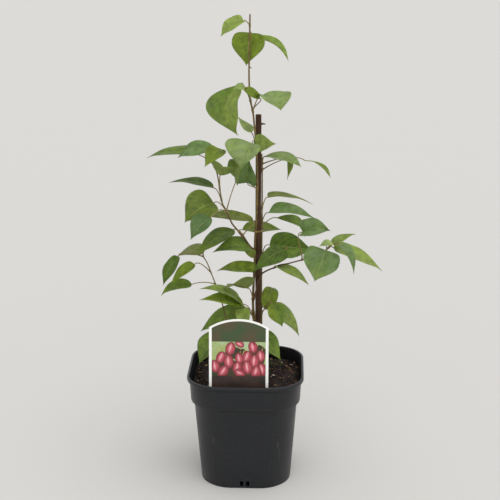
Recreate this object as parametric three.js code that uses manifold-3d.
// Hardy kiwi vine in a square nursery pot, with its stake, tie and label card.
// Millimetres, +Z up, origin at the middle of the pot's base, front of the pot towards -Y.
import * as THREE from 'three';
import { mergeVertices } from 'three/addons/utils/BufferGeometryUtils.js';
import Module from 'manifold-3d';

const wasm = await Module();
wasm.setup();

// Driving dimensions
const GAP = 0.3;
// The pot: half widths at its base, under its band, on its band and at its lip.
const POT = { height: 128, base: 51, waist: 57.7, band: 61.2, lip: 65, corner: 36, wall: 1.4, floor: 1.6 };
// Heights of the band and of the lip above it, how far the band flares, the lip's wall and its round edge.
const BAND = { foot: 96, start: 99, lipStart: 121.5, lipEdge: 124, flare: 1.1, lipWall: 2.6, edge: 1 };
const CORNER_STEPS = 6;
const SLOT = { wide: 3.8, bottom: 3, top: 9, apart: 6.8, deep: 12 };
// The soil's level, how far its middle lies above its edge, and how it widens inside the band.
const SOIL = { level: 115, dip: 1, spread: 0.7, rings: [0.86, 0.66, 0.44, 0.22] };
// Low waves of the soil's top: their height, and one straight and one slanted set across the pot.
const WAVE = { height: 1.6, straight: [0.21, 0.17], shift: 1.3, slanted: [0.43, -0.38], share: 0.7 };
const STAKE = { x: 13, y: 5, radius: 3.3, foot: 20, top: 414.5, sides: 8 };
const SPUR = { height: 404, reach: 7.5, point: 0.5, foot: 1.3, sides: 6 };
// The card, the rise and steps of its arched top, its lean in degrees, and the middle of its lower edge.
const LABEL = { width: 65, height: 102, thick: 0.8, rise: 9.5, arc: 12, lean: 6.5, foot: [-6.5, -52.5, 97] };
const TIE = { height: 286, wide: 1.8, thick: 0.8, steps: 20 };
// A leaf: half widths at its root and point, how far along the heart-shaped base and a turned lobe reach,
// where the stalk ends inside the blade, teeth as a length and as a share of the width, and ripples.
const BLADE = { thick: 0.75, stations: 6, root: 0.6, point: 0.35, heartReach: 0.35, lobe: 0.3, sunk: 0.1 };
const TOOTH = { length: 0.6, share: 0.03, lean: 0.02 };
const RIPPLE = { height: 0.05, turns: 9 };
// The outline of a blade: how blunt it is at the base and drawn out at the point, its swell and its taper.
const PROFILE = { blunt: 0.8, drawn: 0.5, swell: 1.05, taper: 0.3 };
const STALK = { radius: 0.62, sides: 4, steps: 3, out: 0.35, lift: 0.12, into: 0.3 };
const STEM_STEP = 11;
const HOLE = { gap: 0.35, sides: 8, above: 10 };

// Stem routes, from the root or joint to the end. Radius at the start and at the end.
const MAIN_STEM = {
  radius: [1.7, 0.85],
  sides: 6,
  route: [
    [11, -6, 89], [11, -6, 116], [10.5, -5, 150], [9.5, -4, 178], [8, -3, 193], [7.5, -2, 207],
    [8, -0.5, 224], [9, 0.6, 242], [9.4, 0.8, 260], [9.7, 0.8, 276], [10.7, -0.1, 293], [11.6, -0.4, 315],
    [12, -0.5, 334], [12, -0.5, 355], [11.4, -0.3, 371], [10.3, 0, 388], [9.2, 0, 399], [8.2, 0, 409],
    [7.2, 0, 418], [5.6, 0, 425], [4.2, 0, 432], [3.5, 0, 442], [3, 0, 462], [3.5, 0, 478], [3.9, 0, 509],
    [4.1, 0, 520],
  ],
};
const SECOND_STEM = {
  radius: [1.3, 0.8],
  sides: 5,
  route: [
    [17.4, 10.4, 89], [17.4, 10.4, 116], [17, 10, 150], [16.6, 9.2, 189], [16.5, 8.7, 215], [16.6, 8.5, 250],
    [16.9, 8.1, 285], [17.1, 7.9, 314], [17.1, 7.9, 342], [16.9, 8, 361], [16.6, 8.2, 371],
  ],
};
const LEFT_SHOOT = {
  radius: [1.15, 0.7],
  sides: 5,
  route: [
    [8.2, -0.8, 264], [6, -4, 268], [2, -6, 274], [-2, -8, 281], [-5.4, -9, 285], [-10, -10, 291],
    [-15, -12, 298], [-18, -14, 306], [-21, -15, 313], [-25, -16, 321], [-26.5, -17, 329], [-28, -18, 340],
    [-29.5, -18, 350], [-31, -18, 357], [-33.5, -18, 362], [-36, -17, 367],
  ],
};
const RIGHT_SHOOT = {
  radius: [1, 0.65],
  sides: 5,
  route: [
    [8.6, -4.4, 208], [9.8, -4.2, 214], [11.6, -2.8, 222], [14.4, -0.8, 232], [17.6, -1.2, 238],
    [21, -3, 241], [26.5, -7, 245], [32, -10, 248], [36.5, -13, 251.5], [46, -18, 255],
    [54, -22, 258.5], [62, -26, 262], [75, -30, 268], [88, -32, 276], [92, -32, 280],
  ],
};
const LOW_SHOOT = {
  radius: [0.95, 0.6],
  sides: 5,
  route: [
    [-9, -4, 89], [-10, -4, 116], [-16, -10, 150], [-21, -15, 187], [-23.6, -13, 196], [-26, -9, 203],
    [-30, -3, 215], [-34.5, 0, 225], [-39.5, 3, 237], [-44, 5, 248], [-49, 6, 256],
  ],
};

// Leaves of each stem: height of the joint on the stem, base and tip of the blade, the way the upper
// face looks, width, arch of the midrib, fold along it in degrees. Where they matter: depth of the
// heart-shaped base, place of the widest part, sideways sway of the midrib, by what share one half is
// wider, and how far one lobe at the base is turned back in degrees.
const MAIN_LEAVES = [
  { on: 509, base: [-2.5, -5, 513.5], tip: [-25.5, -14, 498.5], face: [-1, -5.5, 8],
    wide: 18.5, arch: 4, fold: 14, heart: 0.16, widest: 0.46, lop: 0.08 },
  { on: 498, base: [4.5, 10, 500], tip: [0, 4, 466], face: [-3, -8.5, 4], wide: 37, arch: 2.5, fold: 9,
    heart: 0.07, sway: -0.5 },
  { on: 495, base: [5, 9, 493.5], tip: [44.5, 24, 469], face: [3.5, 1.5, 9], wide: 24.5, arch: 8, fold: 22,
    widest: 0.47, sway: -1, lop: 0.1 },
  { on: 431, base: [-5, -12, 448.5], tip: [-8, -11.5, 394.5], face: [-6, -7.5, 3],
    wide: 48, arch: 5, fold: 7, heart: 0, widest: 0.54, sway: 14, lop: 0.22, turn: -60 },
  { on: 420, base: [14.5, -12, 434.5], tip: [-5, -17, 446.5], face: [3, -8, 5],
    wide: 10.5, arch: 2, fold: 10, heart: 0.08, widest: 0.5 },
  { on: 419, base: [17, -10, 437], tip: [37.5, -40, 426], face: [1.5, -3, 8], wide: 39, arch: 1.5, fold: 22,
    heart: 0.12, widest: 0.54, sway: -3.5, lop: -0.04 },
  { on: 380, base: [5.5, 2.5, 395.5], tip: [-11, 33, 408], face: [-1.5, -3.5, 10],
    wide: 11, arch: -2, fold: 21, heart: 0, widest: 0.28, lop: 0.1 },
  { on: 375, base: [7, -26, 389], tip: [-3, -42, 363.5], face: [-1, -10, 10],
    wide: 37.5, arch: 7.5, fold: 11, heart: 0.01, widest: 0.35, sway: 1.5, lop: 0.22 },
  { on: 377, base: [8.5, -14, 385.5], tip: [32.5, -27.5, 389], face: [-4, -10.5, 6.5],
    wide: 20.5, arch: 1, fold: 14, heart: 0, widest: 0.3, sway: 1.5, lop: -0.12 },
  { on: 333, base: [1.5, -6, 342], tip: [4, -14, 369.5], face: [-1, -9, 3], wide: 23.5, arch: 5, fold: 16,
    heart: 0.12, widest: 0.35, lop: -0.08 },
  { on: 240, base: [9, -6, 243], tip: [-33.5, 6, 238], face: [-0.5, -4, 8.5], wide: 19, arch: 5, fold: 14,
    heart: 0.11 },
  { on: 208, base: [2, -10, 223.5], tip: [-19.5, -40, 232], face: [-4, 0.5, 8],
    wide: 31.5, arch: 4.5, fold: 17, heart: 0.01, widest: 0.35, lop: -0.12 },
  { on: 193, base: [-7.5, -12, 205], tip: [-49.5, -34, 230], face: [1, -2.5, 9],
    wide: 23, arch: 8, fold: 12, heart: 0.09, sway: 1, lop: -0.06 },
  { on: 190, base: [-3, -10, 205], tip: [-50, -34, 217.5], face: [0.5, -3.5, 8.5],
    wide: 22.5, arch: 4, fold: 11, heart: 0.03 },
  { on: 188, base: [-2.5, 0, 196.5], tip: [-53, 14, 163], face: [-2.5, -8, 5.5],
    wide: 20.5, arch: 8, fold: 8, widest: 0.36 },
  { on: 187, base: [-4.5, -12, 201], tip: [1, -28, 180.5], face: [0, -9, 4], wide: 16, arch: 3, fold: 13 },
  { on: 158, base: [14.5, -10, 167.5], tip: [39.5, -38, 150], face: [4.5, -8, 3.5],
    wide: 26, arch: 4, fold: 6, heart: 0.11 },
  { on: 431, base: [-1, -18, 446], tip: [-13, -23, 445], face: [-1, -8, 5], wide: 8, arch: 2.5, fold: 6,
    widest: 0.4, sway: 1 },
];
const SECOND_LEAVES = [
  { on: 361, base: [20, 7, 368.5], tip: [59.5, -18, 362.5], face: [0.5, -2.5, 14],
    wide: 25.5, arch: 2, fold: 19, widest: 0.52, sway: -1.5 },
  { on: 360, base: [64, 18, 362], tip: [92.5, 36, 338.5], face: [2, 2.5, 9], wide: 12, arch: 6, fold: 4,
    heart: 0, widest: 0.58, lop: 0.06 },
  { on: 353, base: [46.5, 6.5, 363.5], tip: [44.5, -15.5, 348], face: [4.5, -5.5, 3],
    wide: 8, arch: 4, fold: 10, heart: 0.16, widest: 0.28, sway: 2, lop: -0.08 },
  { on: 312, base: [23.5, 14, 321.5], tip: [73, 35.5, 308.5], face: [-3, -2, 7.5],
    wide: 18, arch: 4.5, fold: 11, heart: 0.08, widest: 0.31, sway: -1, lop: 0.06 },
  { on: 296, base: [24.5, 0, 307.5], tip: [74.5, -18.5, 306.5], face: [1.5, -3.5, 17],
    wide: 29.5, arch: 3, fold: 20, widest: 0.31, lop: -0.06 },
  { on: 291, base: [33.5, 16, 297.5], tip: [67, 29, 281], face: [2, -2, 3.5], wide: 15, arch: 6.5, fold: 13,
    heart: 0, widest: 0.52, sway: 2.5, lop: -0.12 },
  { on: 256, base: [26, -7, 273], tip: [73, 4.5, 264.5], face: [-4, -7.5, 5], wide: 31, arch: 4.5, fold: 22,
    widest: 0.37, sway: 1.5 },
  { on: 250, base: [43, -15, 270], tip: [8, -30.5, 248], face: [1.5, -3, 3], wide: 21, arch: 4.5, fold: 9,
    heart: 0, widest: 0.28, sway: 2.5, lop: -0.1 },
  { on: 197, base: [23, 4, 194.5], tip: [28.5, 34, 208], face: [1, -8, 6], wide: 18, arch: 14, fold: 2,
    sway: -1 },
  { on: 186, base: [29, -7, 204.5], tip: [40.5, -23.5, 184], face: [0, -4.5, 6.5],
    wide: 23, arch: 0, fold: 22, widest: 0.48, sway: -1, lop: 0.04 },
  { on: 189, base: [27, 8, 196.5], tip: [59.5, 10, 160], face: [6, -5, 6], wide: 22.5, arch: 6, fold: 12,
    widest: 0.36, sway: -0.5 },
];
const LEFT_LEAVES = [
  { on: 366, base: [-61.5, 2, 371.5], tip: [-110.5, 22, 362.5], face: [-1, -2, 9],
    wide: 23.5, arch: 5, fold: 6, heart: 0.11, sway: -1.5, lop: 0.22 },
  { on: 362, base: [-34, -14, 382], tip: [-73.5, -6, 368.5], face: [-1, -6, 8], wide: 21, arch: 8, fold: 4,
    heart: 0, widest: 0.42, sway: -1, lop: -0.04 },
  { on: 365, base: [-28, -19, 381.5], tip: [-41.5, -45, 367], face: [1.5, -4.5, 9],
    wide: 20.5, arch: 2.5, fold: 16, widest: 0.34, lop: -0.08 },
  { on: 339, base: [-27, -22, 353.5], tip: [-21, -58, 369.5], face: [3, 3, 8.5],
    wide: 25.5, arch: 4, fold: 21, widest: 0.38, lop: 0.04 },
  { on: 312, base: [-9.5, -17, 348], tip: [-0.5, -36, 371.5], face: [-6, -7, 3],
    wide: 27.5, arch: 3, fold: 13, heart: 0.11, widest: 0.39, sway: -2.5, lop: -0.1 },
  { on: 326, base: [-34.5, -18, 339], tip: [-84, 0, 340], face: [0, -1, 9], wide: 21.5, arch: 5, fold: 8,
    widest: 0.45, sway: -1.5 },
  { on: 313, base: [-33.5, -29, 325], tip: [-63.5, -44, 307], face: [-3.5, -8, 4.5],
    wide: 37.5, arch: 7, fold: 14, widest: 0.4, sway: -0.5, lop: 0.1 },
  { on: 311, base: [-34.5, -59.5, 317], tip: [-55, -69.5, 295], face: [-7, -9, -1.5],
    wide: 21, arch: 0, fold: 12, heart: 0, widest: 0.36, sway: 2.5, lop: 0.16 },
  { on: 283, base: [7.5, -1.5, 298.5], tip: [-48.5, 6, 301.5], face: [-8.5, -3, 14],
    wide: 20.5, arch: 3.5, fold: 7, heart: 0.09, widest: 0.52, sway: 1.5, lop: -0.14 },
  { on: 286, base: [-13.5, -13, 291.5], tip: [-50.5, -44, 271], face: [-2, -4, 8.5],
    wide: 26, arch: 4, fold: 6, heart: 0, widest: 0.38 },
  { on: 284, base: [-5, 20, 282.5], tip: [38, 34, 279], face: [0, -2.5, 9], wide: 27, arch: 3, fold: 11,
    heart: 0.01, widest: 0.45, sway: 1 },
  { on: 268, base: [4, -9, 270.5], tip: [-35.5, -26, 269], face: [0, -4, 9], wide: 26, arch: 5, fold: 12,
    heart: 0.08 },
  { on: 266, base: [10, -9, 262], tip: [-4, -16, 270.5], face: [-2, -8, 4.5], wide: 9, arch: 1, fold: 10,
    lop: -0.08 },
];
const RIGHT_LEAVES = [
  { on: 262, base: [61.5, -37, 296], tip: [90.5, -42, 299], face: [3.5, -9, 4.5],
    wide: 20.5, arch: 8.5, fold: 22, heart: 0.19, widest: 0.44, sway: -2, lop: -0.1 },
  { on: 279, base: [86.5, -40, 277], tip: [74.5, -52, 245.5], face: [-1, -9, 3],
    wide: 39.5, arch: 0, fold: 13, heart: 0.12, widest: 0.37, lop: 0.04 },
  { on: 277, base: [93, -36, 284], tip: [79, -46, 283], face: [1.5, -3.5, 8.5], wide: 10, arch: 1, fold: 12,
    widest: 0.35 },
  { on: 278, base: [93.5, -28, 280.5], tip: [119, -14, 288], face: [0, -4.5, 8.5],
    wide: 10.5, arch: 3, fold: 12, heart: 0.03, widest: 0.27 },
  { on: 279.5, base: [101.5, -40, 283.5], tip: [115.5, -60, 257], face: [5, -4, 7],
    wide: 16, arch: 7.5, fold: 12, widest: 0.29, sway: 1.5, lop: 0.08 },
  { on: 279, base: [95.5, -22, 274.5], tip: [150, 0, 242], face: [3, -4.5, 8], wide: 21, arch: 6, fold: 6,
    heart: 0.11, widest: 0.36 },
  { on: 248, base: [33.5, -12.5, 250.5], tip: [69, -40, 237.5], face: [1.5, -2.5, 12.5],
    wide: 17, arch: 4, fold: 8, widest: 0.41, sway: -0.5, lop: 0.06 },
];
const LOW_LEAVES = [
  { on: 255, base: [-48.5, 6.5, 258], tip: [-79, 32.5, 248], face: [1, -5, 11.5],
    wide: 29, arch: 5, fold: 7, widest: 0.44, sway: 0.5 },
  { on: 254, base: [-75.5, -3, 257.5], tip: [-91, -15, 227.5], face: [-5.5, -9, 7.5],
    wide: 16.5, arch: 6, fold: 0, heart: 0.1, widest: 0.46, sway: -1.5 },
  { on: 237, base: [-57, -8, 250], tip: [-82.5, -20.5, 231], face: [-0.5, -7, 14],
    wide: 15.5, arch: 1.5, fold: 22, heart: 0.07, widest: 0.38 },
  { on: 224, base: [-61.5, 3, 223], tip: [-96.5, 6, 207.5], face: [-3, -5.5, 6],
    wide: 15.5, arch: 8, fold: 22, heart: 0, sway: 1.5, lop: -0.16 },
  { on: 158, base: [-27.5, -14, 171.5], tip: [-50.5, -38, 144.5], face: [-5, -7.5, 3],
    wide: 30, arch: 3.5, fold: 12, widest: 0.43, sway: 0.5 },
];

const vec = (p) => new THREE.Vector3(...p);
const UP = new THREE.Vector3(0, 0, 1);

function geometryFrom(points, triangles) {
  const geometry = new THREE.BufferGeometry();
  const positions = points.flatMap((p) => [p.x, p.y, p.z]);
  geometry.setAttribute('position', new THREE.Float32BufferAttribute(positions, 3));
  geometry.setIndex(triangles.flat());
  return geometry;
}

function solidFrom(geometry) {
  const bare = geometry.clone();
  bare.deleteAttribute('normal');
  bare.deleteAttribute('uv');
  const merged = mergeVertices(bare, 1e-4);
  const vertProperties = new Float32Array(merged.attributes.position.array);
  return new wasm.Manifold(new wasm.Mesh({
    numProp: 3,
    vertProperties,
    triVerts: new Uint32Array(merged.index.array),
  }));
}

function geometryOf(solid) {
  const { vertProperties, triVerts, numProp } = solid.getMesh();
  const positions = [];
  for (let i = 0; i < vertProperties.length; i += numProp) {
    positions.push(vertProperties[i], vertProperties[i + 1], vertProperties[i + 2]);
  }
  const geometry = new THREE.BufferGeometry();
  geometry.setAttribute('position', new THREE.Float32BufferAttribute(positions, 3));
  geometry.setIndex([...triVerts]);
  return geometry;
}

const joined = (solids) => solids.reduce((whole, solid) => whole.add(solid));

function named(name, geometry, color, roughness) {
  geometry.computeVertexNormals();
  const mesh = new THREE.Mesh(geometry, new THREE.MeshStandardMaterial({ color, roughness, metalness: 0 }));
  mesh.name = name;
  return mesh;
}

// Ring of a square with round corners, anticlockwise from the right-hand side.
function roundedSquare(half, corner, z) {
  const ring = [];
  const centre = half - corner;
  for (let quarter = 0; quarter < 4; quarter += 1) {
    for (let step = 0; step <= CORNER_STEPS; step += 1) {
      const turn = (quarter + step / CORNER_STEPS) * Math.PI / 2;
      const sx = quarter === 0 || quarter === 3 ? 1 : -1;
      const sy = quarter < 2 ? 1 : -1;
      const x = sx * centre + corner * Math.cos(turn);
      const y = sy * centre + corner * Math.sin(turn);
      ring.push(new THREE.Vector3(x, y, z));
    }
  }
  return ring;
}

// Closed skin over a stack of rings, with a fan to the middle of the first and the last ring.
function skin(rings, firstMiddle, lastMiddle) {
  const count = rings[0].length;
  const points = rings.flat();
  const triangles = [];
  for (let r = 0; r + 1 < rings.length; r += 1) {
    for (let i = 0; i < count; i += 1) {
      const a = r * count + i;
      const b = r * count + (i + 1) % count;
      triangles.push([a, b, b + count], [a, b + count, a + count]);
    }
  }
  const first = points.push(firstMiddle) - 1;
  const last = points.push(lastMiddle) - 1;
  const top = (rings.length - 1) * count;
  for (let i = 0; i < count; i += 1) {
    triangles.push([first, (i + 1) % count, i], [last, top + i, top + (i + 1) % count]);
  }
  return geometryFrom(points, triangles);
}

// The pot's inner faces, and the soil's outer faces a gap further in.
function innerRings(gap) {
  const { base, waist, band, corner, wall, floor } = POT;
  const inset = wall + gap;
  return [
    roundedSquare(band - inset, corner - inset, BAND.start),
    roundedSquare(waist - inset, corner - inset, BAND.foot - wall / 2),
    roundedSquare(base - inset, corner - inset, floor + gap),
  ];
}

function pot() {
  const { base, waist, band, lip, corner, wall, floor, height } = POT;
  const { edge, flare, lipWall } = BAND;
  const rings = [
    roundedSquare(base - edge, corner - edge, 0),
    roundedSquare(base, corner, edge),
    roundedSquare(waist, corner, BAND.foot),
    roundedSquare(band, corner, BAND.start),
    roundedSquare(band + flare, corner, BAND.lipStart),
    roundedSquare(lip, corner, BAND.lipEdge),
    roundedSquare(lip, corner, height - edge),
    roundedSquare(lip - edge, corner - edge, height),
    roundedSquare(lip - lipWall, corner - lipWall, height),
    roundedSquare(band + flare - wall, corner - wall, BAND.lipStart),
    ...innerRings(0),
  ];
  const shell = skin(rings, new THREE.Vector3(0, 0, 0), new THREE.Vector3(0, 0, floor));
  let body = solidFrom(shell);
  for (let side = 0; side < 4; side += 1) {
    for (const half of [-0.5, 0.5]) {
      const slot = new THREE.BoxGeometry(SLOT.wide, SLOT.deep, SLOT.top - SLOT.bottom);
      slot.translate(half * SLOT.apart, -base, (SLOT.top + SLOT.bottom) / 2);
      slot.rotateZ(side * Math.PI / 2);
      body = body.subtract(solidFrom(slot));
    }
  }
  return named('pot', geometryOf(body), 0x2d2d2f, 0.55);
}

function soilHeight(x, y) {
  const { height, straight, shift, slanted, share } = WAVE;
  const wave = Math.sin(x * straight[0] + shift) * Math.cos(y * straight[1]);
  return SOIL.level + height * (wave + share * Math.sin(x * slanted[0] + y * slanted[1]));
}

function tube(route, radii, sides, step) {
  const curve = new THREE.CatmullRomCurve3(route, false, 'centripetal');
  const steps = Math.max(2, Math.round(curve.getLength() / step));
  const frames = curve.computeFrenetFrames(steps, false);
  const rings = [];
  for (let i = 0; i <= steps; i += 1) {
    const middle = curve.getPointAt(i / steps);
    const radius = radii[0] + (radii[1] - radii[0]) * i / steps;
    const ring = [];
    for (let s = 0; s < sides; s += 1) {
      const turn = s / sides * Math.PI * 2;
      ring.push(middle.clone()
        .addScaledVector(frames.normals[i], Math.cos(turn) * radius)
        .addScaledVector(frames.binormals[i], Math.sin(turn) * radius));
    }
    rings.push(ring);
  }
  return skin(rings, curve.getPointAt(0), curve.getPointAt(1));
}

function stakeSolid(spare) {
  const { x, y, radius, foot, top, sides } = STAKE;
  const rod = new THREE.CylinderGeometry(radius + spare, radius + spare, top - foot, sides);
  rod.rotateX(Math.PI / 2);
  rod.translate(x, y, (top + foot) / 2);
  return solidFrom(rod);
}

function stake() {
  const spur = new THREE.CylinderGeometry(SPUR.point, SPUR.foot, SPUR.reach, SPUR.sides);
  spur.rotateZ(-Math.PI / 2);
  spur.translate(STAKE.x + SPUR.reach / 2, STAKE.y, SPUR.height);
  return named('stake', geometryOf(stakeSolid(0).add(solidFrom(spur))), 0x3f2d20, 0.85);
}

function labelSolid(spare) {
  const { width, height, rise, thick, lean, foot, arc } = LABEL;
  const half = width / 2 + spare;
  const bow = (half * half + rise * rise) / (2 * rise);
  const reach = Math.asin(half / bow);
  const outline = new THREE.Shape();
  outline.moveTo(-half, -spare);
  outline.lineTo(half, -spare);
  outline.lineTo(half, height - rise);
  outline.absarc(0, height - bow, bow, Math.PI / 2 - reach, Math.PI / 2 + reach, false);
  outline.closePath();
  const depth = thick + 2 * spare;
  const card = new THREE.ExtrudeGeometry(outline, { depth, bevelEnabled: false, curveSegments: arc });
  card.translate(0, 0, -depth / 2);
  card.rotateX(Math.PI / 2 - THREE.MathUtils.degToRad(lean));
  card.translate(...foot);
  return solidFrom(card);
}

function label() {
  return named('label', geometryOf(labelSolid(0)), 0x4a5a3c, 0.35);
}

// Middle and radius of a stem at a height.
function stemAt({ route, radius }, height) {
  const curve = new THREE.CatmullRomCurve3(route.map(vec), false, 'centripetal');
  let low = 0;
  let high = 1;
  for (let i = 0; i < 24; i += 1) {
    const middle = (low + high) / 2;
    if (curve.getPointAt(middle).z < height) low = middle;
    else high = middle;
  }
  return { middle: curve.getPointAt(low), radius: radius[0] + (radius[1] - radius[0]) * low };
}

// Band round the stake and the two stems beside it: the outline of three circles, worked out
// from the furthest circle in each direction.
function tie() {
  const stems = [MAIN_STEM, SECOND_STEM].map((stem) => stemAt(stem, TIE.height));
  const circles = [
    { x: STAKE.x, y: STAKE.y, r: STAKE.radius },
    ...stems.map(({ middle, radius }) => ({ x: middle.x, y: middle.y, r: radius })),
  ];
  const outline = (offset) => Array.from({ length: TIE.steps }, (_, i) => {
    const turn = i / TIE.steps * Math.PI * 2;
    const dx = Math.cos(turn);
    const dy = Math.sin(turn);
    const far = circles.reduce((a, b) => (a.x * dx + a.y * dy + a.r > b.x * dx + b.y * dy + b.r ? a : b));
    return new THREE.Vector2(far.x + (far.r + offset) * dx, far.y + (far.r + offset) * dy);
  });
  const band = new THREE.Shape(outline(GAP + TIE.thick));
  band.holes.push(new THREE.Path(outline(GAP)));
  const geometry = new THREE.ExtrudeGeometry(band, { depth: TIE.wide, bevelEnabled: false });
  geometry.translate(0, 0, TIE.height - TIE.wide / 2);
  return named('tie', geometryOf(solidFrom(geometry)), 0x7a5a2c, 0.8);
}

// Directions of a leaf: along its midrib, up from its upper face, and across.
function leafFrame({ base, tip, face }) {
  const start = vec(base);
  const along = vec(tip).sub(start);
  const length = along.length();
  along.normalize();
  const up = vec(face);
  up.addScaledVector(along, -up.dot(along)).normalize();
  return { start, along, length, up, across: new THREE.Vector3().crossVectors(along, up) };
}

// Half width of a leaf along its midrib: round base, one widest place, drawn-out point.
function leafProfile(t, widest) {
  const { blunt, drawn, swell, taper } = PROFILE;
  const round = Math.sin(Math.PI * t ** (Math.log(0.5) / Math.log(widest)));
  return Math.max(round, 0) ** (blunt + drawn * t ** 2) * (swell - taper * t ** 2);
}

// Point of the bent midrib: arched towards the upper face and swayed to one side.
function midribPoint({ start, along, length, up, across }, { arch, sway = 0 }, t, place) {
  const bow = 4 * t * (1 - t);
  return start.clone()
    .addScaledVector(along, place * length)
    .addScaledVector(up, arch * bow)
    .addScaledVector(across, sway * bow);
}

// One toothed blade, folded along its bent midrib, with the same triangles on both faces.
function blade(leaf, index) {
  const frame = leafFrame(leaf);
  const { along, length, up, across } = frame;
  const { wide, arch, fold, heart = 0.05, widest = 0.33, lop = 0, turn = 0 } = leaf;
  const toothLength = Math.min(TOOTH.length, wide * TOOTH.share);
  const upper = [];
  const lower = [];
  const put = (t, side, tooth) => {
    const bulge = heart * Math.sin(Math.PI * Math.min(1, t / BLADE.heartReach));
    const place = side === 0 ? t : t - bulge + (tooth ? TOOTH.lean : 0);
    const slope = 4 * arch * (1 - 2 * t) / length;
    const normal = up.clone().addScaledVector(along, -slope).normalize();
    const curl = side * turn > 0 ? Math.abs(turn) * Math.max(0, 1 - t / BLADE.lobe) ** 1.5 : 0;
    const tilt = THREE.MathUtils.degToRad(fold - curl);
    const edge = wide / 2 * leafProfile(t, widest) * (1 + side * lop) + (tooth ? toothLength : 0);
    const half = side === 0 ? 0 : Math.max(edge, t < 0.5 ? BLADE.root : BLADE.point);
    const wave = RIPPLE.height * half * Math.sin(RIPPLE.turns * t + index * 2 + side);
    const point = midribPoint(frame, leaf, t, place)
      .addScaledVector(across, side * half * Math.cos(tilt))
      .addScaledVector(normal, half * Math.sin(tilt) + wave);
    const out = normal.clone().multiplyScalar(Math.cos(tilt))
      .addScaledVector(across, -side * Math.sin(tilt));
    upper.push(point.clone().addScaledVector(out, BLADE.thick / 2));
    return lower.push(point.addScaledVector(out, -BLADE.thick / 2)) - 1;
  };
  const count = 2 * BLADE.stations;
  const left = [];
  const rib = [];
  const right = [];
  for (let k = 0; k <= count; k += 1) {
    const t = k / count;
    left.push(put(t, -1, k % 2 === 1));
    right.push(put(t, 1, k % 2 === 1));
    if (k % 2 === 0) rib.push(put(t, 0, false));
  }
  const top = [];
  for (let i = 0; i < BLADE.stations; i += 1) {
    const k = 2 * i;
    top.push([rib[i], right[k], right[k + 1]], [rib[i], right[k + 1], rib[i + 1]]);
    top.push([rib[i + 1], right[k + 1], right[k + 2]]);
    top.push([rib[i], left[k + 1], left[k]], [rib[i], rib[i + 1], left[k + 1]]);
    top.push([rib[i + 1], left[k + 2], left[k + 1]]);
  }
  const edge = [...right, rib[BLADE.stations], ...left.toReversed(), rib[0]];
  const shift = upper.length;
  const triangles = [...top, ...top.map(([a, b, c]) => [a + shift, c + shift, b + shift])];
  edge.forEach((a, i) => {
    const b = edge[(i + 1) % edge.length];
    triangles.push([b, a, a + shift], [b, a + shift, b + shift]);
  });
  return geometryFrom([...upper, ...lower], triangles);
}

// Leaf stalk from the middle of the stem to inside the blade, bent up as it leaves the stem.
function stalk(joint, leaf) {
  const frame = leafFrame(leaf);
  const { start, along } = frame;
  const reach = joint.distanceTo(start);
  const bend = new THREE.CubicBezierCurve3(
    joint,
    joint.clone().lerp(start, STALK.out).addScaledVector(UP, STALK.lift * reach),
    start.clone().addScaledVector(along, -STALK.into * reach),
    start,
  );
  const route = bend.getPoints(STALK.steps - 1);
  route.push(midribPoint(frame, leaf, BLADE.sunk, BLADE.sunk));
  const step = new THREE.CatmullRomCurve3(route).getLength() / STALK.steps;
  return tube(route, [STALK.radius, STALK.radius], STALK.sides, step);
}

function leafyStem(name, stem, leaves, color) {
  const pieces = [tube(stem.route.map(vec), stem.radius, stem.sides, STEM_STEP)];
  leaves.forEach((leaf, index) => {
    pieces.push(blade(leaf, index), stalk(stemAt(stem, leaf.on).middle, leaf));
  });
  return named(name, geometryOf(joined(pieces.map(solidFrom))), color, 0.6);
}

// Plain hole in the soil round the rooted end of a stem.
function rootHole({ route, radius }) {
  const wide = radius[0] + HOLE.gap;
  const low = vec(route[0]).addScaledVector(UP, -GAP);
  const high = vec(route[1]).addScaledVector(UP, HOLE.above);
  const depth = high.distanceTo(low);
  return solidFrom(tube([low, low.clone().lerp(high, 0.5), high], [wide, wide], HOLE.sides, depth));
}

function soil() {
  const inset = POT.wall + HOLE.gap;
  const edge = roundedSquare(POT.band + SOIL.spread - inset, POT.corner - inset, SOIL.level);
  const shaped = (ring, share) => ring.map((p) => {
    const x = p.x * share;
    const y = p.y * share;
    return new THREE.Vector3(x, y, share === 1 ? SOIL.level - SOIL.dip : soilHeight(x, y));
  });
  const surface = [1, ...SOIL.rings].map((share) => shaped(edge, share));
  const rings = [...innerRings(HOLE.gap).toReversed(), ...surface];
  const low = new THREE.Vector3(0, 0, POT.floor + HOLE.gap);
  let body = solidFrom(skin(rings, low, new THREE.Vector3(0, 0, soilHeight(0, 0))));
  for (const stem of [MAIN_STEM, SECOND_STEM, LOW_SHOOT]) body = body.subtract(rootHole(stem));
  body = body.subtract(stakeSolid(HOLE.gap)).subtract(labelSolid(GAP));
  return named('soil', geometryOf(body), 0x2b211b, 0.95);
}

const vine = new THREE.Group();
vine.add(pot());
vine.add(soil());
vine.add(stake());
vine.add(label());
vine.add(tie());
vine.add(leafyStem('main_stem', MAIN_STEM, MAIN_LEAVES, 0x6b8a3a));
vine.add(leafyStem('second_stem', SECOND_STEM, SECOND_LEAVES, 0x54783a));
vine.add(leafyStem('left_shoot', LEFT_SHOOT, LEFT_LEAVES, 0x5d7a22));
vine.add(leafyStem('right_shoot', RIGHT_SHOOT, RIGHT_LEAVES, 0x5c8350));
vine.add(leafyStem('low_shoot', LOW_SHOOT, LOW_LEAVES, 0x4f6e28));

export default vine;
